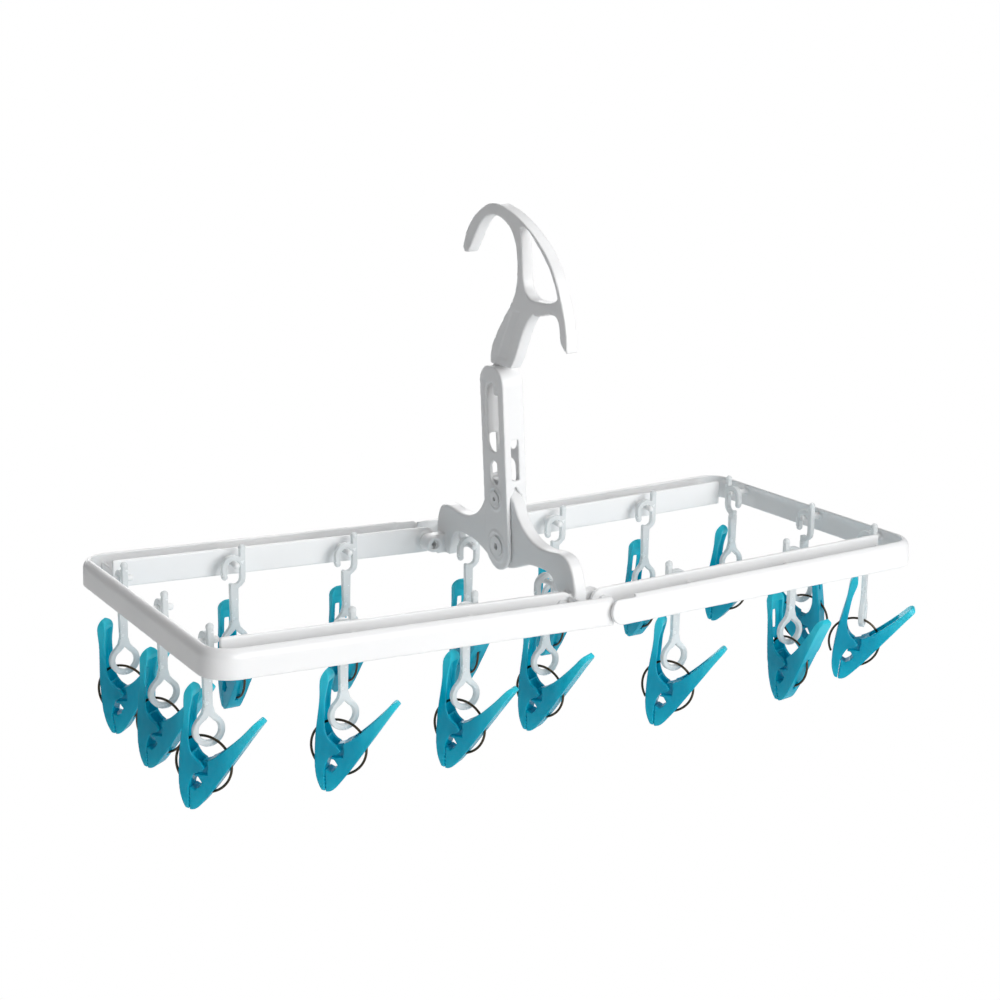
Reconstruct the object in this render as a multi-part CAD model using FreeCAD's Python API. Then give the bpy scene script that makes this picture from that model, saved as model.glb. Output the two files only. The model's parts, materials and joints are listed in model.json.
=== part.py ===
import FreeCAD, Part
import math
import os

# Folding clip drying hanger: two identical U-shaped rail frames hinged on the feet of an arched
# yoke, a post riveted over the yoke, a swivelling hook in the post, and sixteen ring-spring clips
# that hang on plastic links.  Millimetres, +Z up, X along the length.  Everything is drawn about
# the middle of the yoke, at the height of the two hinge axes, and moved at the end so that the
# origin is the top of the hook's inside, where a rail would touch it.

V = FreeCAD.Vector
Turn = FreeCAD.Rotation
Place = FreeCAD.Placement
X, Y, Z = V(1, 0, 0), V(0, 1, 0), V(0, 0, 1)

# Rail frames
HALF_LENGTH = 244.0        # middle of the hanger to the outer face of a short side
RAIL_HEIGHT = 16.8
LAP_ARM_OUT = 111.4        # outer face of the arm whose end laps outside
TUCK_ARM_OUT = 107.6       # outer face of the arm that runs on behind that lap
LAP_ARM_IN = 85.9          # inner faces of the same two arms
TUCK_ARM_IN = 82.8
CORNER_R = 18.0
WALL = 2.4
CURL = 4.6                 # how far the rounded top of the outer wall leans in
CURL_DROP = 6.5
FLOOR = 2.0
CORNER_GAP = 13.0          # the inner walls stop this far short of the short side
TUCK_REACH = 9.0           # the tucked arm runs this far past the middle
RISE = 1.47                # each frame climbs outwards by this many degrees when open

# Hinges between yoke and frames
PIVOT_X = 13.5
PIN_R = 2.6
PIN_CLEARANCE = 0.07
PIN_HEAD_R = 4.0
PIN_HEAD = 1.6

# Yoke
YOKE_HALF_T = 4.2
FOOT_IN, FOOT_OUT = 74.0, 82.3
FOOT_R = 5.6
FOOT_DEPTH = 7.0
RING_BOSS_IN = 71.2
LEAN = 3.0                 # yoke, post and hook lean towards -X by this many degrees

# Post
POST_HALF_T = 7.4
POST_HALF_W = 13.9
POST_TOP = 131.0
POST_ROUND_Z = 14.6        # centre of the rounded foot
CHEEK = 2.2
CAP = 9.0
RIVETS = ((16.0, 4.2), (46.8, 3.4))      # height and radius

# Hook
HOOK_HALF_T = 3.75
HOOK_CROWN = (-4.4, 222.9)
STEM_R = 4.0
STEM_CLEARANCE = 0.08

# Pegs that carry the links
PEG_R = 1.7
PEG_BASE_R = 2.8
PEG_LENGTH = 15.0
PEG_Z_LONG = 1.2
PEG_Z_SHORT = 2.6
YOKE_LUG_Y, YOKE_PEG_Z = 60.0, 3.6

# Link: hook at the top, flat stem, teardrop loop
LINK_HALF_T = 1.7
LINK_EYE_R = 4.4
LINK_BAR = 3.4
LINK_GAP = 0.35            # play between peg and link, and between loop and ring
LOOP_Z = -51.0
LOOP_R, LOOP_EYE_R = 9.3, 5.8

# Clip
RING_R = 16.5
WIRE_R = 0.75
RING_SHIFT = 3.0           # the ring hangs off-centre, because the lever is the heavier side
CLIP_HALF_W = 6.0
KNUCKLE_R = 2.7
KNUCKLE_PIN_R = 1.2
SKIN = 1.7

# name: (carrier, kind of peg, place along the wall, distance from it, hook, loop and clip heading,
# lean of the clip).  Headings are degrees about +Z of the plane's +s direction, at rest.
CLIPS = {
    "left_side_1": ("left", "short", 67.0, 11.6, -90, 0, -45, -6),
    "left_side_2": ("left", "short", 0.0, 11.6, -90, 0, -55, 0),
    "left_side_3": ("left", "short", -68.0, 11.6, -90, 0, -46, 1),
    "left_front_1": ("left", "tuck", 151.0, 9.5, 0, 0, -44, 0),
    "left_front_2": ("left", "tuck", 72.3, 9.5, 0, 0, -56, 1),
    "left_rear_1": ("left", "lap", 154.3, 9.5, 0, 0, -88, 0),
    "left_rear_2": ("left", "lap", 76.4, 9.5, 0, 0, -86, 0),
    "yoke_front": ("yoke", "front", 0.0, 14.0, 0, 0, -62, 0),
    "yoke_rear": ("yoke", "rear", 0.0, 10.0, 0, 0, -90, 0),
    "right_rear_1": ("right", "tuck", 81.5, 9.5, 0, 0, -92, 0),
    "right_rear_2": ("right", "tuck", 157.0, 9.5, 0, 0, -88, 2),
    "right_front_1": ("right", "lap", 76.5, 10.5, 180, 0, -50, 1),
    "right_front_2": ("right", "lap", 168.5, 10.5, 180, 0, -80, -9),
    "right_side_1": ("right", "short", 67.5, 11.6, 90, 0, -60, 3),
    "right_side_2": ("right", "short", -13.0, 11.6, -90, 0, 120, 0),
    "right_side_3": ("right", "short", -76.0, 11.6, -90, 40, -42, 6),
}

PARTS = "parts"
HALF_H = RAIL_HEIGHT / 2


def box(x0, x1, y0, y1, z0, z1):
    return Part.makeBox(x1 - x0, y1 - y0, z1 - z0, V(x0, y0, z0))


def rod(radius, start, end):
    return Part.makeCylinder(radius, (end - start).Length, start, end - start)


def ball(radius, centre):
    return Part.makeSphere(radius, centre)


def cone(r0, r1, start, end):
    return Part.makeCone(r0, r1, (end - start).Length, start, end - start)


def fuse(shapes):
    first, rest = shapes[0], list(shapes[1:])
    return first.multiFuse(rest).removeSplitter() if rest else first


def outline(points):
    """Closed wire; a list item of three or more points inside it is a smooth curve."""
    edges, last, first = [], None, None
    for item in points + [points[0]]:
        curve = item if isinstance(item, list) else [item]
        if last is not None and (last - curve[0]).Length > 1e-6:
            edges.append(Part.makeLine(last, curve[0]))
        if item is points[0] and first is not None:
            break
        first = curve[0] if first is None else first
        if len(curve) > 1:
            spline = Part.BSplineCurve()
            spline.interpolate(curve)
            edges.append(spline.toShape())
        last = curve[-1]
    return Part.Wire(edges)


def slab(points, axis, half):
    """Outline swept by half its thickness to both sides along an axis."""
    shift = axis * half
    wire = outline(points)
    wire.translate(shift * -1)
    return Part.Face(wire).extrude(shift * 2)


def yz(*pairs):
    return [V(0, a, b) for a, b in pairs]


def xz(*pairs):
    return [V(a, 0, b) for a, b in pairs]


# ---- where the moving frames stand ----

LEANING = Place(V(), Turn(Y, -LEAN))


def half_place(side):
    """From the frame's own flat coordinates (pivot at PIVOT_X, rails level) to the hanger's."""
    turned = Place(V(), Turn(Z, 0 if side == "right" else 180))
    pivot_local = V(PIVOT_X, 0, 0)
    pivot = turned.multVec(pivot_local)
    tilt = Place(pivot, turned.Rotation * Turn(Y, -RISE))
    return tilt * Place(pivot_local * -1, Turn())


def placed(shape, place):
    copy = shape.copy()
    copy.Placement = place * copy.Placement
    return copy


# ---- rail frame, drawn as the right half: lap arm at the front, tuck arm at the rear ----

def wall_section(corner, inward):
    """Outer wall: upright face, top rounded over and leaning in."""
    def at(d, z):
        return corner + inward * d + Z * z
    top = HALF_H
    rounding = [at(0, top - CURL_DROP), at(CURL * 0.28, top - CURL_DROP * 0.3), at(CURL * 0.85, top)]
    inner = [at(CURL, top - 1.0), at(WALL + 0.5, top - CURL_DROP * 0.6), at(WALL, top - CURL_DROP - 1.5)]
    return Part.Face(outline([at(0.6, -top), at(0, 0.6 - top), rounding, at(CURL, top - 0.3), inner,
                              at(WALL, -top)]))


def outer_wall():
    straight_end = HALF_LENGTH - CORNER_R
    lap_start = PIVOT_X - HALF_H
    front, rear = -LAP_ARM_OUT, TUCK_ARM_OUT
    runs = [
        wall_section(V(lap_start, front, 0), Y).extrude(X * (straight_end - lap_start)),
        wall_section(V(-TUCK_REACH, rear, 0), Y * -1).extrude(X * (straight_end + TUCK_REACH)),
        wall_section(V(HALF_LENGTH, front + CORNER_R, 0), X * -1).extrude(
            Y * (rear - front - 2 * CORNER_R)),
        wall_section(V(straight_end, front, 0), Y).revolve(V(straight_end, front + CORNER_R, 0), Z, 90),
        wall_section(V(straight_end, rear, 0), Y * -1).revolve(V(straight_end, rear - CORNER_R, 0), Z, -90),
    ]
    return fuse(runs)


def rounded_start(y0, y1, radius=HALF_H):
    """What to cut away so that an arm's end is round about the hinge axis."""
    block = box(-60, PIVOT_X, y0, y1, -30, 30)
    return block.cut(rod(radius, V(PIVOT_X, y0, 0), V(PIVOT_X, y1, 0)))


def inner_wall(y0, y1):
    end = HALF_LENGTH - WALL - CORNER_GAP
    plate = box(PIVOT_X, end, y0, y1, -HALF_H, HALF_H).fuse(rod(HALF_H, V(PIVOT_X, y0, 0), V(PIVOT_X, y1, 0)))
    return plate.removeSplitter()


def peg(foot, inward, length=PEG_LENGTH):
    waist = foot + inward * 6.0
    tip = foot + inward * length
    return fuse([cone(PEG_BASE_R, PEG_R, foot - inward * 0.5, waist), rod(PEG_R, waist, tip),
                 ball(PEG_R + 0.5, tip)])


def peg_spot(kind, along):
    """Foot and inward direction of a peg in the frame's own coordinates."""
    if kind == "short":
        return V(HALF_LENGTH - WALL, along, PEG_Z_SHORT), X * -1
    if kind == "lap":
        return V(along, -LAP_ARM_IN, PEG_Z_LONG), Y
    return V(along, TUCK_ARM_IN, PEG_Z_LONG), Y * -1


def rail_frame(side):
    floor_start = PIVOT_X + HALF_H + 1.2
    floor_end = HALF_LENGTH - WALL - CORNER_GAP
    lap_in, tuck_in = -LAP_ARM_IN, TUCK_ARM_IN
    shape = fuse([
        outer_wall(),
        inner_wall(lap_in - WALL, lap_in),
        inner_wall(tuck_in, tuck_in + WALL),
        box(floor_start, floor_end, -LAP_ARM_OUT + 1, lap_in, -HALF_H, FLOOR - HALF_H),
        box(floor_start, floor_end, tuck_in, TUCK_ARM_OUT - 1, -HALF_H, FLOOR - HALF_H),
        # end web of the tucked arm's channel, and stiffening webs along both channels
        box(7.6, 9.4, tuck_in + 1, TUCK_ARM_OUT - 1, -6.0, 6.0),
        *[box(x, x + 1.6, tuck_in + 1, TUCK_ARM_OUT - 1, -HALF_H, 2.0) for x in (75.0, 150.0, 226.0)],
        *[box(x, x + 1.6, -LAP_ARM_OUT + 1, lap_in - 1, -HALF_H, 2.0) for x in (75.0, 150.0, 226.0)],
        rod(6.0, V(PIVOT_X, lap_in, 0), V(PIVOT_X, -FOOT_OUT - 0.4, 0)),
    ])
    # the lap arm's outer wall is thin where the other frame runs behind it
    shape = shape.cut(rounded_start(-LAP_ARM_OUT - 1, -LAP_ARM_OUT + CURL + 1))
    shape = shape.cut(box(0, floor_start - 0.2, -LAP_ARM_OUT + WALL, lap_in - WALL - 0.4, -20, 20))
    for y0, y1 in ((-FOOT_OUT, lap_in - WALL - 1), (tuck_in - 1, tuck_in + WALL + 1)):
        shape = shape.cut(rod(PIN_R, V(PIVOT_X, y0, 0), V(PIVOT_X, y1, 0)))
    for carrier, kind, along, *_ in CLIPS.values():
        if carrier != side:
            continue
        if kind == "short" and side == "left":
            along = -along
        length = PEG_LENGTH + (2.0 if kind == "short" else 0.0)
        shape = shape.fuse(peg(*peg_spot(kind, along), length))
    return placed(shape.removeSplitter(), half_place(side))


def hinge_pins(side):
    """Two snap pins: head in the channel, split hollow end inside the yoke's ring boss."""
    pins = []
    for sign, wall_y in ((-1, LAP_ARM_IN), (1, TUCK_ARM_IN)):
        inward = Y * -sign
        head_y = V(PIVOT_X, sign * (wall_y + WALL), 0)
        tip = V(PIVOT_X, sign * (RING_BOSS_IN + 1.2), 0)
        pin = fuse([rod(PIN_HEAD_R, head_y, head_y - inward * PIN_HEAD), rod(PIN_R, head_y, tip)])
        pin = pin.cut(rod(PIN_R - 1.0, tip, tip - inward * 6.0))
        pin = pin.cut(box(PIVOT_X - 0.4, PIVOT_X + 0.4, min(tip.y, tip.y + sign * 5.0),
                          max(tip.y, tip.y + sign * 5.0), -4, 4))
        pins.append(pin)
    return placed(Part.makeCompound(pins), half_place(side))


# ---- yoke, post, rivets and hook, drawn upright ----

def yoke():
    def side(s):
        return yz((s * 11, 3.5), (s * 20, 6.5), (s * 33, 11.2), (s * 46, 12.4), (s * 57, 11.4),
                  (s * 64, 5.5), (s * 69, -FOOT_DEPTH)), \
            yz((s * 84.6, -3.0), (s * 85.0, 8.0), (s * 82.6, 17.5), (s * 77.5, 24.8),
               (s * 70, 27.0), (s * 57, 25.9), (s * 43, 26.2), (s * 32, 30.0), (s * 23, 37.5),
               (s * 16.5, 47.5), (s * 11.0, 53.5))
    low_r, high_r = side(1)
    low_f, high_f = side(-1)
    hub_top = yz((11.0, 58.0), (-11.0, 58.0))
    points = [low_f[::-1] + [V(0, 0, 2.5)] + low_r, V(0, 81.0, -FOOT_DEPTH), high_r, *hub_top,
              high_f[::-1], V(0, -81.0, -FOOT_DEPTH)]
    shape = slab(points, X, YOKE_HALF_T)
    shape = round_edges(shape, 1.2, lambda e: abs(e.BoundBox.ZMax - e.BoundBox.ZMin) > 20
                        and abs(e.BoundBox.YMax - e.BoundBox.YMin) > 30)
    arch, feet = [shape], []
    for s in (-1, 1):
        inner, outer = s * FOOT_IN, s * FOOT_OUT
        y0, y1 = min(inner, outer), max(inner, outer)
        feet += [rod(FOOT_R, V(x, inner, 0), V(x, outer, 0)) for x in (-PIVOT_X, PIVOT_X)]
        feet += [rod(FOOT_R - 0.3, V(x, s * RING_BOSS_IN, 0), V(x, outer, 0))
                 for x in (-PIVOT_X, PIVOT_X)]
        feet.append(box(-PIVOT_X, PIVOT_X, y0, y1, -FOOT_R, FOOT_R))
        feet.append(box(3.5 - PIVOT_X, PIVOT_X - 3.5, y0, y1, -FOOT_DEPTH, 0))
        lug_y = s * YOKE_LUG_Y
        arch.append(box(-2.4, 2.4, min(lug_y, lug_y - s * 3), max(lug_y, lug_y - s * 3),
                        YOKE_PEG_Z - 3.0, 14.0))
        arch.append(peg(V(0, lug_y - s * 2.5, YOKE_PEG_Z), Y * -s, PEG_LENGTH - 1.0))
    arch = fuse(arch)
    for z, r in RIVETS:
        arch = arch.cut(rod(r, V(-10, 0, z), V(10, 0, z)))
    shape = fuse([placed(arch, LEANING), *feet])
    for s in (-1, 1):
        for x in (-PIVOT_X, PIVOT_X):
            shape = shape.cut(rod(PIN_R + PIN_CLEARANCE, V(x, s * 60, 0), V(x, s * 90, 0)))
    return shape


def round_edges(shape, radius, wanted):
    edges = [e for e in shape.Edges if wanted(e)]
    return shape.makeFillet(radius, edges) if edges else shape


def stadium(axis_x0, axis_x1, y_half, z0, z1):
    """Slot along Z with round ends, cut through along X."""
    low, high = z0 + y_half, z1 - y_half
    return fuse([box(axis_x0, axis_x1, -y_half, y_half, low, high),
                 rod(y_half, V(axis_x0, 0, low), V(axis_x1, 0, low)),
                 rod(y_half, V(axis_x0, 0, high), V(axis_x1, 0, high))])


def post_block(half_t, half_w, top, round_z, corner):
    body = box(-half_t, half_t, -half_w, half_w, round_z, top)
    vertical_corners = [e for e in body.Edges
                        if abs(e.BoundBox.ZMin - top) < 1e-6 and e.BoundBox.XLength > half_t]
    body = body.makeFillet(corner, vertical_corners)
    return body.fuse(rod(half_w, V(-half_t, 0, round_z), V(half_t, 0, round_z))).removeSplitter()


def post():
    shape = post_block(POST_HALF_T, POST_HALF_W, POST_TOP, POST_ROUND_Z, 11.5)
    hollow = box(CHEEK - POST_HALF_T, POST_HALF_T - CHEEK, CHEEK - POST_HALF_W, POST_HALF_W - CHEEK,
                 -10, POST_TOP - CAP)
    shape = shape.cut(hollow)
    shape = shape.cut(stadium(-20, 20, 7.6, 77.0, 120.5))
    shape = shape.cut(stadium(-20, 20, 4.8, 55.6, 71.0))
    slot_half = YOKE_HALF_T + 0.4
    apex = [V(-slot_half, 0, 47.0), V(0, 0, 57.0), V(slot_half, 0, 47.0), V(slot_half, 0, -10),
            V(-slot_half, 0, -10)]
    shape = shape.cut(slab(apex, Y, 30))
    shape = shape.cut(box(-2.6, 2.6, -30, 30, 60.0, 86.0))
    for s in (-1, 1):
        outer, inner = s * POST_HALF_T, s * (POST_HALF_T + 0.7)
        for (z, _), r in zip(RIVETS, (10.2, 7.6)):
            ring = rod(r, V(outer - s * 0.5, 0, z), V(inner, 0, z))
            ring = ring.cut(rod(r - 1.3, V(outer - s * 2, 0, z), V(inner + s, 0, z)))
            shape = shape.fuse(ring)
    for z, r in RIVETS:
        shape = shape.cut(rod(r, V(-20, 0, z), V(20, 0, z)))
    shape = shape.cut(rod(STEM_R + STEM_CLEARANCE, V(0, 0, 100), V(0, 0, 140)))
    return placed(shape.removeSplitter(), LEANING)


def post_rivets():
    rivets = []
    for (z, r), head in zip(RIVETS, (6.6, 5.0)):
        end = POST_HALF_T
        solids = [rod(r, V(-end, 0, z), V(end, 0, z))]
        solids += [rod(head, V(s * end, 0, z), V(s * (end + 0.9), 0, z)) for s in (-1, 1)]
        rivet = fuse(solids)
        rivets.append(rivet.cut(rod(r - 2.0, V(-20, 0, z), V(20, 0, z))))
    return placed(Part.makeCompound(rivets), LEANING)


def swivel_hook():
    outer = yz((34.7, 200.6), (26.5, 214.5), (13.5, 224.4), (-3.0, 230.0), (-18.0, 228.4),
               (-37.0, 221.8), (-53.8, 211.9), (-67.6, 198.8), (-76.8, 180.6), (-81.6, 163.0),
               (-81.6, 149.6))
    grip_inner = yz((-77.6, 153.0), (-74.8, 157.5), (-74.2, 165.0), (-71.6, 169.2), (-66.0, 170.4),
                    (-46.4, 168.3))
    front_neck = yz((-46.4, 168.3), (-40.0, 163.5), (-30.0, 149.5), (-18.0, 131.6))
    rear_neck = yz((5.6, 131.6), (5.2, 139.0), (1.5, 146.0), (-18.5, 169.0), (-26.4, 179.6),
                   (-29.3, 190.0), (-29.6, 201.0), (-26.2, 212.6), (-16.5, 220.6), (-4.4, 222.9),
                   (6.5, 220.3), (14.6, 213.8), (29.0, 197.4))
    shape = slab([outer, grip_inner, front_neck, rear_neck, V(0, 33.4, 197.2)], X, HOOK_HALF_T)
    window = [yz((-34.2, 217.4), (-35.4, 207.0), (-35.6, 194.0), (-37.4, 182.4), (-43.0, 177.4),
                 (-52.0, 176.4), (-66.0, 177.6), (-73.4, 180.6)),
              yz((-73.4, 180.6), (-64.4, 198.0), (-51.4, 210.6), (-37.0, 218.2), (-34.2, 217.4))]
    shape = shape.cut(slab(window, X, 20))
    neck_groove = yz((-14.0, 136.0), (-2.0, 136.0), (-22.0, 168.0), (-31.0, 168.0))
    for s in (-1, 1):
        groove = slab(neck_groove, X, 0.5)
        groove.translate(X * s * HOOK_HALF_T)
        shape = shape.cut(groove)
    collar_top = POST_TOP - CAP - 0.5
    shape = shape.fuse(rod(STEM_R, V(0, 0, 112), V(0, 0, 140)).common(box(-9, 9, -9, 9, 0, 139)))
    shape = shape.fuse(rod(5.0, V(0, 0, 112), V(0, 0, collar_top)))
    return placed(shape.removeSplitter(), LEANING)


# ---- link ----

def link_hook():
    """Open eye over the peg, tall bar with a knob on one side, ball-ended tail on the other."""
    centre_z = PEG_R + LINK_GAP - LINK_EYE_R
    outer = LINK_EYE_R + LINK_BAR
    n0, n1 = V(0, -LINK_HALF_T, 0), V(0, LINK_HALF_T, 0)
    arch = rod(outer, n0 + Z * centre_z, n1 + Z * centre_z)
    arch = arch.common(box(-20, 20, -5, 5, centre_z, 20))
    legs = [box(-outer, -LINK_EYE_R, -LINK_HALF_T, LINK_HALF_T, -7.6, centre_z),
            box(LINK_EYE_R, outer, -LINK_HALF_T, LINK_HALF_T, -9.5, 9.0)]
    bar_x = LINK_EYE_R + LINK_BAR / 2
    cradle = xz((LINK_EYE_R, -9.5), (outer, -9.5), (7.0, -12.4), (4.9, -14.6), (2.7, -16.0),
                (2.7, -19.0), (-2.7, -19.0), (-2.7, -13.2), (-1.6, -12.5), (0.4, -13.3),
                (2.4, -12.9), (3.8, -11.6))
    shape = fuse([arch, *legs, slab(cradle, Y, LINK_HALF_T)])
    shape = shape.cut(rod(LINK_EYE_R, n0 * 2 + Z * centre_z, n1 * 2 + Z * centre_z))
    return fuse([shape, ball(2.3, V(bar_x, 0, 9.4)), ball(2.1, V(-bar_x + 0.3, 0, -8.0))])


def link_loop():
    side = LOOP_R * 0.9
    stem = xz((-2.7, -18.0), (2.7, -18.0), (2.4, -36.5), (3.6, -41.0), (side, LOOP_Z + 4.05),
              (-side, LOOP_Z + 4.05), (-3.6, -41.0), (-2.4, -36.5))
    n0, n1 = V(0, -LINK_HALF_T, LOOP_Z), V(0, LINK_HALF_T, LOOP_Z)
    shape = fuse([slab(stem, Y, LINK_HALF_T), rod(LOOP_R, n0, n1)])
    side = LOOP_EYE_R * 0.9
    eye = xz((0, -42.6), (side, LOOP_Z + 2.55), (-side, LOOP_Z + 2.55))
    shape = shape.cut(slab(eye, Y, 5)).cut(rod(LOOP_EYE_R, n0 - Y * 3, n1 + Y * 3))
    for s in (-1, 1):
        inside, outside = V(0, s * 0.6, LOOP_Z), V(0, s * 2.2, LOOP_Z)
        shape = shape.cut(cone(LOOP_EYE_R, LOOP_EYE_R + 1.2, inside, outside))
    return shape


def link(hook_heading, loop_heading):
    top = placed(link_hook(), Place(V(), Turn(Z, hook_heading)))
    bottom = placed(link_loop(), Place(V(), Turn(Z, loop_heading)))
    twist = rod(3.1, V(0, 0, -19.0), V(0, 0, -16.6))
    return fuse([top, bottom, twist]) if hook_heading != loop_heading else fuse([top, bottom])


# ---- clip, drawn in its own plane: s = X across the jaws, Z up, ring centre at the origin ----

def pad_mask(tip, direction, half_w, length):
    """Rounded, slightly tapering plan of an arm: seen square on, from pad to jaw."""
    across = Y
    normal = direction.cross(across)
    jaw = tip - direction * length
    points = [tip - direction * half_w + across * half_w, tip - direction * half_w - across * half_w,
              jaw - across * (half_w - 1.0), jaw + across * (half_w - 1.0)]
    wire = Part.makePolygon(points + [points[0]])
    plan = Part.Face(wire).extrude(normal * 80)
    plan.translate(normal * -40)
    centre = tip - direction * half_w
    return fuse([plan, rod(half_w, centre - normal * 40, centre + normal * 40)])


def ring_slot(inner=1.15, outer=1.15):
    """Space that the spring ring needs where it passes through an arm."""
    disc = rod(RING_R + outer + WIRE_R, V(0, -1.15, 0), V(0, 1.15, 0))
    return disc.cut(rod(RING_R - inner - WIRE_R, V(0, -3, 0), V(0, 3, 0)))


def spring_ring():
    """Open ring: the wire stops inside the two jaws."""
    angles = (-93.0, 212.0)
    centre = V()
    axis = Y
    full = Part.makeTorus(RING_R, WIRE_R, centre, axis)
    mid = math.radians(sum(angles) / 2 + 180)
    gap_half = math.radians((360 - (angles[1] - angles[0])) / 2)
    reach = 40.0
    wedge = [V(), V(reach * math.cos(mid - gap_half), 0, reach * math.sin(mid - gap_half)),
             V(reach * math.cos(mid), 0, reach * math.sin(mid)),
             V(reach * math.cos(mid + gap_half), 0, reach * math.sin(mid + gap_half))]
    return full.cut(slab(wedge, Y, 5))


def fixed_arm():
    outline_pts = [xz((-9.0, -25.0), (-11.9, -18.0), (-12.8, -6.0), (-12.2, 7.0), (-10.6, 20.0),
                      (-9.2, 33.0), (-8.0, 44.0), (-6.6, 46.4)),
                   xz((-6.6, 46.4), (-4.6, 44.6), (-5.3, 34.0), (-6.4, 22.0), (-6.6, 13.0),
                      (-4.2, 6.2), (0.0, KNUCKLE_R)),
                   xz((2.6, -0.6), (0.6, -KNUCKLE_R)),
                   xz((-3.6, -4.2), (-5.6, -8.2), (-6.95, -12.6)), V(-6.95, 0, -25.4)]
    body = slab(outline_pts, Y, CLIP_HALF_W)
    body = body.common(pad_mask(V(-7.6, 0, 46.6), V(0.05, 0, 1).normalize(), CLIP_HALF_W, 73))
    pocket = xz((-10.4, -2.0), (-10.0, 12.0), (-8.4, 30.0), (-7.3, 40.0), (2.0, 40.0), (2.0, 14.0),
                (-4.6, 9.6), (-7.0, 3.0))
    body = body.cut(slab(pocket, Y, CLIP_HALF_W - SKIN))
    window = box(-20, 20, -1.6, 1.6, 22.0, 34.0)
    knuckle_gap = rod(KNUCKLE_R + 1.1, V(0, -3.2, 0), V(0, 3.2, 0))
    body = body.cut(window).cut(knuckle_gap)
    body = body.cut(box(-5.2, 6, -3.2, 3.2, -6.4, 6.6))
    for z in (-23.4, -21.2, -19.0, -16.8):
        body = body.cut(rod(0.45, V(-6.95, -10, z), V(-6.95, 10, z)))
    pin = rod(KNUCKLE_PIN_R, V(0, -4.4, 0), V(0, 4.4, 0))
    return body.cut(ring_slot()).fuse(pin)


def lever_arm():
    outline_pts = [xz((-6.65, -25.8), (-4.2, -25.6), (1.6, -20.6), (7.4, -13.0), (15.5, -1.2),
                      (24.0, 11.2), (30.8, 21.2), (35.8, 28.0)),
                   xz((35.8, 28.0), (34.6, 30.4), (29.6, 26.6), (21.0, 17.4), (12.3, 9.4),
                      (5.4, 4.6), (0.0, KNUCKLE_R)),
                   xz((-KNUCKLE_R, 0.0), (-1.9, -2.0), (-3.2, -4.8), (-4.8, -8.6), (-6.65, -12.8))]
    body = slab(outline_pts, Y, CLIP_HALF_W)
    body = body.common(pad_mask(V(35.8, 0, 30.2), V(0.62, 0, 0.785).normalize(), CLIP_HALF_W, 70))
    pocket = xz((8.6, 0.6), (13.6, 1.2), (23.0, 12.6), (28.4, 19.6), (24.0, 24.0), (10.0, 14.0))
    body = body.cut(slab(pocket, Y, CLIP_HALF_W - SKIN))
    ears = rod(KNUCKLE_R + 1.9, V(0, -9, 0), V(0, 9, 0)).cut(rod(10, V(0, -2.8, 0), V(0, 2.8, 0)))
    body = body.cut(ears)
    gap = xz((-7.4, -10.6), (-4.4, -5.6), (-1.2, -5.9), (0.9, -9.2), (-1.0, -12.2), (-3.6, -13.9),
             (-7.4, -12.2))
    body = body.cut(slab(gap, Y, CLIP_HALF_W + 1))
    side_relief = box(-8.0, 4.2, -9, 9, -4.4, 8.0).cut(box(-9, 9, -2.8, 2.8, -9, 9))
    body = body.cut(side_relief)
    for z in (-23.4, -21.2, -19.0, -16.8):
        body = body.cut(rod(0.45, V(-6.65, -10, z), V(-6.65, 10, z)))
    return body.cut(rod(KNUCKLE_PIN_R + 0.07, V(0, -9, 0), V(0, 9, 0))).cut(ring_slot())


# ---- where each clip hangs ----

def peg_hook_point(carrier, kind, along, reach):
    if carrier == "yoke":
        sign = -1 if kind == "front" else 1
        return LEANING.multVec(V(0, sign * (YOKE_LUG_Y - reach), YOKE_PEG_Z))
    if kind == "short" and carrier == "left":
        along = -along
    foot, inward = peg_spot(kind, along)
    return half_place(carrier).multVec(foot + inward * reach)


def clip_place(hook_point, loop_heading, clip_heading, lean):
    """The ring lies on the loop's lower bar; the clip leans about that bar."""
    crossing = math.radians(clip_heading - loop_heading)
    lift = LINK_GAP + 1.3 * math.cos(crossing) ** 2
    top = V(0, 0, LOOP_Z - LOOP_EYE_R + WIRE_R + lift)
    drop = math.sqrt(RING_R ** 2 - RING_SHIFT ** 2)
    hung = Place(hook_point + top, Turn(Z, clip_heading) * Turn(Y, lean))
    return hung * Place(V(-RING_SHIFT, 0, -drop), Turn())


def main():
    os.makedirs(PARTS, exist_ok=True)
    nodes = {
        "left_rail_frame": rail_frame("left"),
        "right_rail_frame": rail_frame("right"),
        "left_hinge_pins": hinge_pins("left"),
        "right_hinge_pins": hinge_pins("right"),
        "yoke": yoke(),
        "post": post().cut(yoke()),
        "post_rivets": post_rivets(),
        "swivel_hook": swivel_hook(),
    }
    jaw, ring, lever = fixed_arm(), spring_ring(), lever_arm()
    for name, (carrier, kind, along, reach, hook, loop, heading, lean) in CLIPS.items():
        spot = peg_hook_point(carrier, kind, along, reach)
        nodes[name + "_link"] = placed(link(hook, loop), Place(spot, Turn()))
        stand = clip_place(spot, loop, heading, lean)
        nodes[name + "_jaw"] = placed(Part.makeCompound([jaw, ring]), stand)
        nodes[name + "_lever"] = placed(lever, stand)
    crown = LEANING.multVec(V(0, *HOOK_CROWN))
    for name, shape in nodes.items():
        shape.translate(crown * -1)
        shape.exportStep(os.path.join(PARTS, name + ".step"))


main()
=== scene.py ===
"""Looks of a folding clip drying hanger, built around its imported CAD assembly.  Metres, +Z up."""
import math
import json
import bmesh
import bpy
from mathutils import Matrix, Vector


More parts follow.
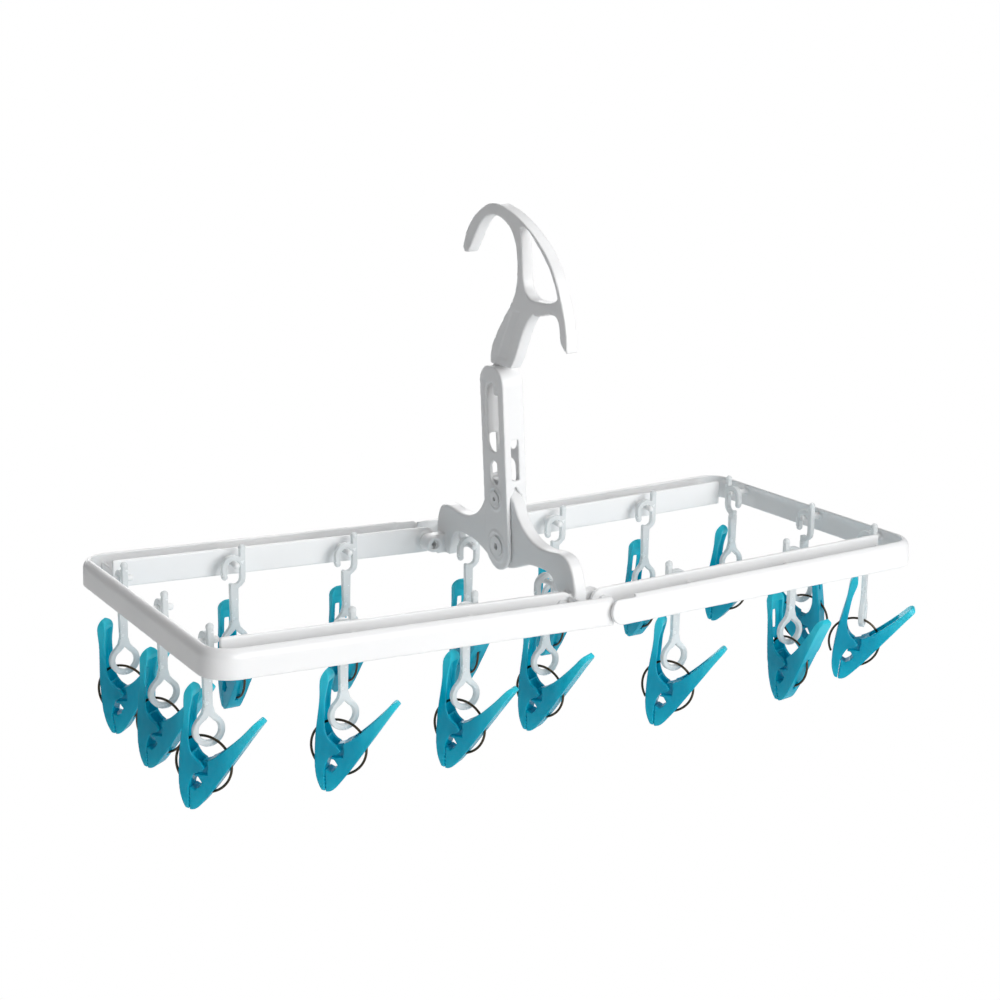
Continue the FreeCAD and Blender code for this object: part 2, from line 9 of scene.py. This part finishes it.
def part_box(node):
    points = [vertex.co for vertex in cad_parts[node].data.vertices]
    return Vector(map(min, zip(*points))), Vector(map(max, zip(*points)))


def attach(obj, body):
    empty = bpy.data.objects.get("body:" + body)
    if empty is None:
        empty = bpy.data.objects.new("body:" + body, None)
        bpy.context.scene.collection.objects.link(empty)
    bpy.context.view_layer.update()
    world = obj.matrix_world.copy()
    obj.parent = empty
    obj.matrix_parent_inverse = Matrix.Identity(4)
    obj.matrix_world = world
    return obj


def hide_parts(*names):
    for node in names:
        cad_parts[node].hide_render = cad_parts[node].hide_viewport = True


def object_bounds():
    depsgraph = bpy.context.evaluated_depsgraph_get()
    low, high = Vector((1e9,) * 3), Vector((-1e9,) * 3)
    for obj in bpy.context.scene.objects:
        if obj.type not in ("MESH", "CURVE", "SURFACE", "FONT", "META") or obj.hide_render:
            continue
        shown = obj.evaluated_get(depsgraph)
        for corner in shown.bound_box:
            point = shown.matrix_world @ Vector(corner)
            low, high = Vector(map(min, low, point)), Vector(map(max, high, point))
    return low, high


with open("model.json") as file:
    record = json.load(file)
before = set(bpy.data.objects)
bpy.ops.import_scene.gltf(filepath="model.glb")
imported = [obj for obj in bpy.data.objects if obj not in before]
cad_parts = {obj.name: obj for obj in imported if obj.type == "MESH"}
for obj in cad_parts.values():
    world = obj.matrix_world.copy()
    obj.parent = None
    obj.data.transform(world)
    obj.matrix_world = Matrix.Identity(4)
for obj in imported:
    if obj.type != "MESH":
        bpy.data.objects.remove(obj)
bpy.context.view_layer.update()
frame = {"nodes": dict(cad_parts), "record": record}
MM = 0.001


record = frame["record"]
NODES = frame["nodes"]
JOINTS = {j["name"]: j for j in record["behaviour"]["joints"]}
CLIP_NAMES = [n[:-len("_squeeze")] for n in JOINTS if n.endswith("_squeeze")]

RING_R, WIRE_R, RING_SHIFT = 16.5 * MM, 0.75 * MM, 3.0 * MM
RING_DROP = math.sqrt(RING_R ** 2 - RING_SHIFT ** 2)
LOOP_OUTER_MM, LOOP_INNER_MM = 9.3, 5.8
HALF_LOOP_BAR = (LOOP_OUTER_MM - LOOP_INNER_MM) / 2 * MM
WIRE_MM, GAP_MM = 0.75, 0.35
LINK_PLAY = (WIRE_MM + GAP_MM) * MM
CROSSED_LIFT = 1.3 * MM     # the ring sits this much higher on a loop that it lies along
PIN_BORE = 2.85 * MM

# Softening of the CAD pieces, lengths in metres.
CLIP_VOXEL, WHITE_VOXEL = 0.00026, 0.0005
CLIP_PASSES, RAIL_PASSES, WHITE_PASSES = 5, 4, 7
CLIP_KEPT, WHITE_KEPT = 0.4, 0.25       # share of the faces kept by the decimation
WELD = 2e-6


# ---- materials ----

class Nodes:
    """Short names for building one node material."""

    def __init__(self, name):
        self.material = bpy.data.materials.new(name)
        self.material.use_nodes = True
        self.tree = self.material.node_tree
        self.tree.nodes.clear()
        self.out = self.tree.nodes.new("ShaderNodeOutputMaterial")

    def add(self, kind, inputs=None, **settings):
        node = self.tree.nodes.new(kind)
        for key, value in settings.items():
            setattr(node, key, value)
        for key, value in (inputs or {}).items():
            if isinstance(value, bpy.types.NodeSocket):
                self.tree.links.new(value, node.inputs[key])
            else:
                node.inputs[key].default_value = value
        return node

    def ramp(self, fac, stops):
        node = self.add("ShaderNodeValToRGB", {"Fac": fac})
        band = node.color_ramp
        while len(band.elements) < len(stops):
            band.elements.new(0.5)
        for element, (place, value) in zip(band.elements, stops):
            element.position = place
            rgb = value if isinstance(value, tuple) else (value, value, value)
            element.color = (*rgb, 1.0)
        return node.outputs["Color"]

    def noise(self, scale, detail=4.0, rough=0.55, vector=None, distortion=0.0):
        if vector is None:
            vector = self.add("ShaderNodeTexCoord").outputs["Object"]
        settings = {"Vector": vector, "Scale": scale, "Detail": detail, "Roughness": rough,
                    "Distortion": distortion}
        return self.add("ShaderNodeTexNoise", settings).outputs["Fac"]

    def stretched(self, scale_xyz):
        place = self.add("ShaderNodeTexCoord").outputs["Object"]
        mapping = self.add("ShaderNodeMapping", {"Vector": place, "Scale": scale_xyz})
        return mapping.outputs["Vector"]

    def blend(self, fac, first, second):
        mix = self.add("ShaderNodeMixShader", {"Fac": fac})
        self.tree.links.new(first, mix.inputs[1])
        self.tree.links.new(second, mix.inputs[2])
        return mix.outputs["Shader"]

    def surface(self, shader):
        self.tree.links.new(shader, self.out.inputs["Surface"])
        return self.material


def moulded(n, edge, fine=0.00002, wave=0.00005):
    """Normal of an injection-moulded skin: rounded edges, faint sink waves and a fine texture."""
    rounded = n.add("ShaderNodeBevel", {"Radius": edge}, samples=6).outputs["Normal"]
    sink = n.add("ShaderNodeBump", {
        "Height": n.noise(22.0, 1.0), "Distance": wave, "Strength": 0.35, "Normal": rounded})
    grain = n.add("ShaderNodeBump", {
        "Height": n.noise(2600.0, 2.0), "Distance": fine, "Strength": 0.3,
        "Normal": sink.outputs["Normal"]})
    return grain.outputs["Normal"]


def white_plastic():
    n = Nodes("white_polypropylene")
    drift = n.noise(14.0, 3.0)
    tone = n.ramp(drift, [(0.25, (0.875, 0.88, 0.885)), (0.75, (0.90, 0.90, 0.898))])
    handling = n.noise(120.0, 5.0, 0.65)
    rough = n.ramp(handling, [(0.3, 0.30), (0.75, 0.35)])
    skin = n.add("ShaderNodeBsdfPrincipled", {
        "Base Color": tone, "Roughness": rough, "IOR": 1.49, "Subsurface Weight": 0.12,
        "Subsurface Radius": (1.0, 0.95, 0.9), "Subsurface Scale": 0.002, "Coat Weight": 0.08,
        "Coat Roughness": 0.2, "Normal": moulded(n, 0.0012)})
    return n.surface(skin.outputs["BSDF"])


def milky_plastic():
    n = Nodes("milky_polypropylene")
    cloud = n.noise(160.0, 4.0, 0.6)
    tone = n.ramp(cloud, [(0.3, (0.91, 0.94, 0.945)), (0.7, (0.95, 0.965, 0.97))])
    rough = n.ramp(n.noise(240.0, 4.0), [(0.3, 0.22), (0.75, 0.29)])
    normal = moulded(n, 0.0006, 0.00001, 0.00003)
    skin = n.add("ShaderNodeBsdfPrincipled", {
        "Base Color": tone, "Roughness": rough, "IOR": 1.49, "Subsurface Weight": 0.4,
        "Subsurface Radius": (1.0, 1.0, 1.0), "Subsurface Scale": 0.003,
        "Transmission Weight": 0.22, "Normal": normal})
    glow = n.add("ShaderNodeBsdfTranslucent", {"Color": (0.9, 0.94, 0.95, 1.0), "Normal": normal})
    return n.surface(n.blend(0.25, skin.outputs["BSDF"], glow.outputs["BSDF"]))


def teal_plastic():
    """Tinted translucent plastic whose colour is painted paler with distance from the ring centre:
    a painted glow of light through the grips, deep at the knuckle.
    """
    n = Nodes("teal_polypropylene")
    place = n.add("ShaderNodeTexCoord").outputs["Object"]
    reach = n.add("ShaderNodeVectorMath", {0: place}, operation="LENGTH").outputs["Value"]
    # Painted glow: the colour turns paler with distance from the ring centre, standing in for light
    # shining through the grips, with random cloudiness on top.
    thin = n.add("ShaderNodeMapRange", {"Value": reach, "From Min": 0.006, "From Max": 0.044})
    flow = n.noise(95.0, 4.0, 0.6, n.stretched((1.0, 1.0, 0.3)), 0.6)
    cloudy = n.add("ShaderNodeMath", {0: flow, 1: 0.5}, operation="SUBTRACT").outputs["Value"]
    cloud_and_painted_glow = n.add("ShaderNodeMath", {0: cloudy, 1: 0.9, 2: thin.outputs["Result"]},
                  operation="MULTIPLY_ADD").outputs["Value"]
    tone = n.ramp(cloud_and_painted_glow, [(0.0, (0.0, 0.40, 0.57)), (0.4, (0.0, 0.52, 0.70)),
                          (0.9, (0.05, 0.68, 0.82))])
    # The translucent part's colour carries the same painted glow gradient.
    painted_glow_tone = n.ramp(cloud_and_painted_glow, [(0.0, (0.0, 0.66, 0.84)), (0.9, (0.07, 0.88, 0.96))])
    rough = n.ramp(n.noise(300.0, 4.0, 0.6), [(0.35, 0.15), (0.7, 0.24)])
    normal = moulded(n, 0.0006, 0.00001, 0.00008)
    skin = n.add("ShaderNodeBsdfPrincipled", {
        "Base Color": tone, "Roughness": rough, "IOR": 1.49, "Specular IOR Level": 0.3,
        "Coat Weight": 0.2, "Coat Roughness": 0.08, "Normal": normal})
    glow = n.add("ShaderNodeBsdfTranslucent", {"Color": painted_glow_tone, "Normal": normal})
    return n.surface(n.blend(0.38, skin.outputs["BSDF"], glow.outputs["BSDF"]))


def spring_wire():
    n = Nodes("tempered_spring_wire")
    drawn = n.noise(900.0, 3.0, 0.5, n.stretched((1.0, 1.0, 0.2)))
    tone = n.ramp(n.noise(90.0, 3.0), [(0.3, (0.045, 0.036, 0.026)), (0.75, (0.13, 0.10, 0.065))])
    rough = n.ramp(drawn, [(0.3, 0.22), (0.7, 0.42)])
    bump = n.add("ShaderNodeBump", {"Height": drawn, "Distance": 0.00004, "Strength": 0.5})
    steel = n.add("ShaderNodeBsdfPrincipled", {
        "Base Color": tone, "Metallic": 1.0, "Roughness": rough, "Normal": bump.outputs["Normal"]})
    return n.surface(steel.outputs["BSDF"])


MATERIALS = {"white_plastic": white_plastic(), "milky_plastic": milky_plastic(),
             "teal_plastic": teal_plastic(), "spring_steel": spring_wire()}
SLOT_OF = {s["node"]: s["material_slot"] for s in record["subparts"]}


def wear(obj, slot_name):
    obj.data.materials.clear()
    obj.data.materials.append(MATERIALS[slot_name])


for node_name, node in NODES.items():
    wear(node, SLOT_OF[node_name])


# ---- pieces that stand for CAD nodes ----

def clip_frame(name):
    """Where a clip stands: its ring's centre, s axis across the jaws, Z along the clip."""
    squeeze, rock = JOINTS[name + "_squeeze"], JOINTS[name + "_rock"]
    centre = Vector(squeeze["pos_m"])
    axis = Vector(squeeze["axis"])
    heading = math.atan2(axis.x, -axis.y)
    across = Vector((math.cos(heading), math.sin(heading), 0.0))
    rock_axis = Vector(rock["axis"])
    crossing = heading - math.atan2(rock_axis.y, rock_axis.x)
    contact = Vector(rock["pos_m"]) + Vector((0.0, 0.0, HALF_LOOP_BAR + LINK_PLAY
                                              + CROSSED_LIFT * math.cos(crossing) ** 2))
    to_centre = centre - contact
    lean = math.atan2(RING_DROP, RING_SHIFT) - math.atan2(-to_centre.z, -to_centre.dot(across))
    turn = Matrix.Rotation(heading, 4, "Z") @ Matrix.Rotation(lean, 4, "Y")
    return Matrix.Translation(centre) @ turn


def make(name, mesh, place, body, node_name):
    piece = bpy.data.objects.new(name, mesh)
    bpy.context.scene.collection.objects.link(piece)
    piece.matrix_world = place
    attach(piece, body)
    if node_name:
        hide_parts(node_name)
    return piece


def ring_mesh():
    """Spring ring: round wire on an open circle, both ends turned into the jaws."""
    start, end = math.radians(-93.0), math.radians(212.0)
    along, around = 132, 14
    mesh = bmesh.new()
    rows = []
    for i in range(along + 1):
        a = start + (end - start) * i / along
        out = Vector((math.cos(a), 0.0, math.sin(a)))
        row = []
        for k in range(around):
            b = 2 * math.pi * k / around
            row.append(mesh.verts.new(out * (RING_R + WIRE_R * math.cos(b))
                                      + Vector((0.0, WIRE_R * math.sin(b), 0.0))))
        rows.append(row)
    for lower, upper in zip(rows, rows[1:]):
        for k in range(around):
            mesh.faces.new((lower[k], lower[(k + 1) % around], upper[(k + 1) % around], upper[k]))
    mesh.faces.new(rows[0][::-1])
    mesh.faces.new(rows[-1])
    bmesh.ops.recalc_face_normals(mesh, faces=mesh.faces)
    for face in mesh.faces:
        face.smooth = len(face.verts) == 4
    data = bpy.data.meshes.new("spring_ring")
    mesh.to_mesh(data)
    mesh.free()
    data.materials.append(MATERIALS["spring_steel"])
    return data


def islands(mesh):
    """Groups of connected vertices, largest first."""
    left, found = set(mesh.verts), []
    while left:
        grown, edge = set(), [left.pop()]
        while edge:
            v = edge.pop()
            grown.add(v)
            for e in v.link_edges:
                w = e.other_vert(v)
                if w in left:
                    left.discard(w)
                    edge.append(w)
        found.append(grown)
    return sorted(found, key=len, reverse=True)


def softened(node_name, place, slot_name, voxel, drop_ring=False,
             passes=CLIP_PASSES, ratio=CLIP_KEPT):
    """Copy of a CAD node in its own coordinates, with moulded (rounded) edges."""
    mesh = bmesh.new()
    mesh.from_mesh(NODES[node_name].data)
    bmesh.ops.transform(mesh, matrix=place.inverted(), verts=mesh.verts)
    bmesh.ops.remove_doubles(mesh, verts=mesh.verts, dist=WELD)
    if drop_ring:
        for group in islands(mesh):
            reach = [math.hypot(v.co.x, v.co.z) for v in group]
            if min(reach) > RING_R - 1.3 * WIRE_R and max(reach) < RING_R + 1.3 * WIRE_R:
                bmesh.ops.delete(mesh, geom=list(group), context="VERTS")
    data = bpy.data.meshes.new(node_name + "_soft")
    mesh.to_mesh(data)
    mesh.free()
    work = bpy.data.objects.new(node_name + "_work", data)
    bpy.context.scene.collection.objects.link(work)
    remesh = work.modifiers.new("voxels", "REMESH")
    remesh.mode, remesh.voxel_size = "VOXEL", voxel
    smooth = work.modifiers.new("smooth", "SMOOTH")
    smooth.factor, smooth.iterations = 0.5, passes
    thin = work.modifiers.new("thin", "DECIMATE")
    thin.ratio = ratio
    graph = bpy.context.evaluated_depsgraph_get()
    result = bpy.data.meshes.new_from_object(work.evaluated_get(graph))
    bpy.data.objects.remove(work)
    for face in result.polygons:
        face.use_smooth = True
    result.materials.clear()
    result.materials.append(MATERIALS[slot_name])
    result.name = node_name + "_moulded"
    return result


def open_bores(mesh, joint_names, radius):
    """Smoothing draws the hinge bores in, so their walls go back out round the pins."""
    for name in joint_names:
        x, _, z = JOINTS[name]["pos_m"]
        for v in mesh.vertices:
            away = math.hypot(v.co.x - x, v.co.z - z)
            if 0.2 * radius < away < radius:
                v.co.x = x + (v.co.x - x) * radius / away
                v.co.z = z + (v.co.z - z) * radius / away


WHITE_BODY = {"swivel_hook": "hook", "post": "yoke", "yoke": "yoke",
              "left_rail_frame": "left_frame", "right_rail_frame": "right_frame"}
for name, body in WHITE_BODY.items():
    rails = name.endswith("rail_frame")
    shell = softened(name, Matrix.Identity(4), "white_plastic", WHITE_VOXEL, ratio=WHITE_KEPT,
                     passes=RAIL_PASSES if rails else WHITE_PASSES)
    if name == "yoke":
        open_bores(shell, ("left_fold", "right_fold"), PIN_BORE)
    make("moulded_" + name, shell, Matrix.Identity(4), body, name)

ring = ring_mesh()
first = CLIP_NAMES[0]
jaw = softened(first + "_jaw", clip_frame(first), "teal_plastic", CLIP_VOXEL, drop_ring=True)
lever = softened(first + "_lever", clip_frame(first), "teal_plastic", CLIP_VOXEL)
links = {}
for name in CLIP_NAMES:
    stand = clip_frame(name)
    make(name + "_moulded_jaw", jaw, stand, name + "_jaw", name + "_jaw")
    make(name + "_spring_ring", ring, stand, name + "_jaw", None)
    make(name + "_moulded_lever", lever, stand, name + "_lever", name + "_lever")
    peg = Matrix.Translation(Vector(JOINTS[name + "_swing"]["pos_m"]))
    low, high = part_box(name + "_link")
    key = tuple(round(float(v), 4) for v in (Vector(low) - peg.translation)) + tuple(
        round(float(v), 4) for v in (Vector(high) - peg.translation))
    if key not in links:
        links[key] = softened(name + "_link", peg, "milky_plastic", CLIP_VOXEL)
    make(name + "_moulded_link", links[key], peg, name + "_link", name + "_link")


# ---- stage, light and camera ----

def soft_light(name, place, aim, size, power):
    data = bpy.data.lights.new(name, "AREA")
    data.shape, data.size, data.size_y = "RECTANGLE", size[0], size[1]
    data.energy = power
    lamp = bpy.data.objects.new(name, data)
    lamp.location = place
    lamp.rotation_euler = (Vector(aim) - Vector(place)).to_track_quat("-Z", "Y").to_euler()
    bpy.context.scene.collection.objects.link(lamp)


def backdrop():
    """White floor that sweeps up behind the object, seen as plain white paper."""
    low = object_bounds()[0][2] - 0.30
    turn_y, sweep_r = 2.2, 1.2
    profile = [(-4.0, low), (turn_y, low)]
    profile += [(turn_y + sweep_r * math.sin(a), low + sweep_r - sweep_r * math.cos(a))
                for a in [math.radians(8 * k) for k in range(1, 12)]]
    profile.append((3.4, low + 5.0))
    mesh = bmesh.new()
    rows = [[mesh.verts.new((x, y, z)) for y, z in profile] for x in (-6.0, 8.0)]
    for k in range(len(profile) - 1):
        face = mesh.faces.new((rows[0][k], rows[1][k], rows[1][k + 1], rows[0][k + 1]))
        face.smooth = True
    data = bpy.data.meshes.new("paper_sweep")
    mesh.to_mesh(data)
    mesh.free()
    n = Nodes("paper")
    tone = n.ramp(n.noise(3.0, 3.0), [(0.3, 0.93), (0.7, 0.95)])
    paper = n.add("ShaderNodeBsdfDiffuse", {"Color": tone, "Roughness": 0.9})
    bright = n.add("ShaderNodeEmission", {"Color": (1.0, 1.0, 1.0, 1.0), "Strength": 1.0})
    seen = n.add("ShaderNodeLightPath").outputs["Is Camera Ray"]
    seen_white = n.blend(seen, paper.outputs["BSDF"], bright.outputs["Emission"])
    data.materials.append(n.surface(seen_white))
    sweep = bpy.data.objects.new("paper_sweep", data)
    bpy.context.scene.collection.objects.link(sweep)


backdrop()
middle = (0.012, 0.0, -0.24)
soft_light("key", (0.8, -2.2, 0.7), middle, (1.6, 1.6), 36.5)
soft_light("front", (0.2, -2.4, 0.1), middle, (1.6, 1.0), 16.0)
soft_light("top", (0.5, 0.3, 2.0), middle, (2.0, 2.0), 20.0)
soft_light("rear", (0.5, 2.4, 0.5), middle, (1.8, 1.4), 20.0)
soft_light("left_low", (-2.4, -0.4, 0.2), middle, (1.2, 1.6), 1.5)

world = bpy.data.worlds.new("studio")
bpy.context.scene.world = world
world.use_nodes = True
sky = world.node_tree
dim = sky.nodes["Background"]
dim.inputs["Color"].default_value = (0.95, 0.97, 1.0, 1.0)
dim.inputs["Strength"].default_value = 0.12
white = sky.nodes.new("ShaderNodeBackground")
white.inputs["Color"].default_value = (1.0, 1.0, 1.0, 1.0)
either = sky.nodes.new("ShaderNodeMixShader")
sky.links.new(sky.nodes.new("ShaderNodeLightPath").outputs["Is Camera Ray"], either.inputs["Fac"])
sky.links.new(dim.outputs["Background"], either.inputs[1])
sky.links.new(white.outputs["Background"], either.inputs[2])
sky.links.new(either.outputs["Shader"], sky.nodes["World Output"].inputs["Surface"])

# Plain colour curve, so that white paper stays white.
bpy.context.scene.view_settings.view_transform = "Standard"

# The eye stands to the front left and a little above, as a visitor sees the hanger on a rail.
HINGE_CENTRE = Vector((11.666, 4.4, -222.594)) * MM
EYE = HINGE_CENTRE + Vector((-581.1, -969.0, 323.8)) * MM
yaw, pitch, roll = math.radians(30.68), math.radians(13.89), math.radians(0.62)
ahead = Vector((math.sin(yaw) * math.cos(pitch), math.cos(yaw) * math.cos(pitch), -math.sin(pitch)))
level = Vector((math.cos(yaw), -math.sin(yaw), 0.0))
upright = level.cross(ahead)
right = level * math.cos(roll) + upright * math.sin(roll)
up = upright * math.cos(roll) - level * math.sin(roll)
camera_data = bpy.data.cameras.new("camera")
camera_data.lens, camera_data.sensor_width = 66.95, 36.0
camera_data.clip_start = 0.05
camera = bpy.data.objects.new("camera", camera_data)
camera.matrix_world = Matrix((
    (right.x, up.x, -ahead.x, EYE.x), (right.y, up.y, -ahead.y, EYE.y),
    (right.z, up.z, -ahead.z, EYE.z), (0.0, 0.0, 0.0, 1.0)))
bpy.context.scene.collection.objects.link(camera)
bpy.context.scene.camera = camera
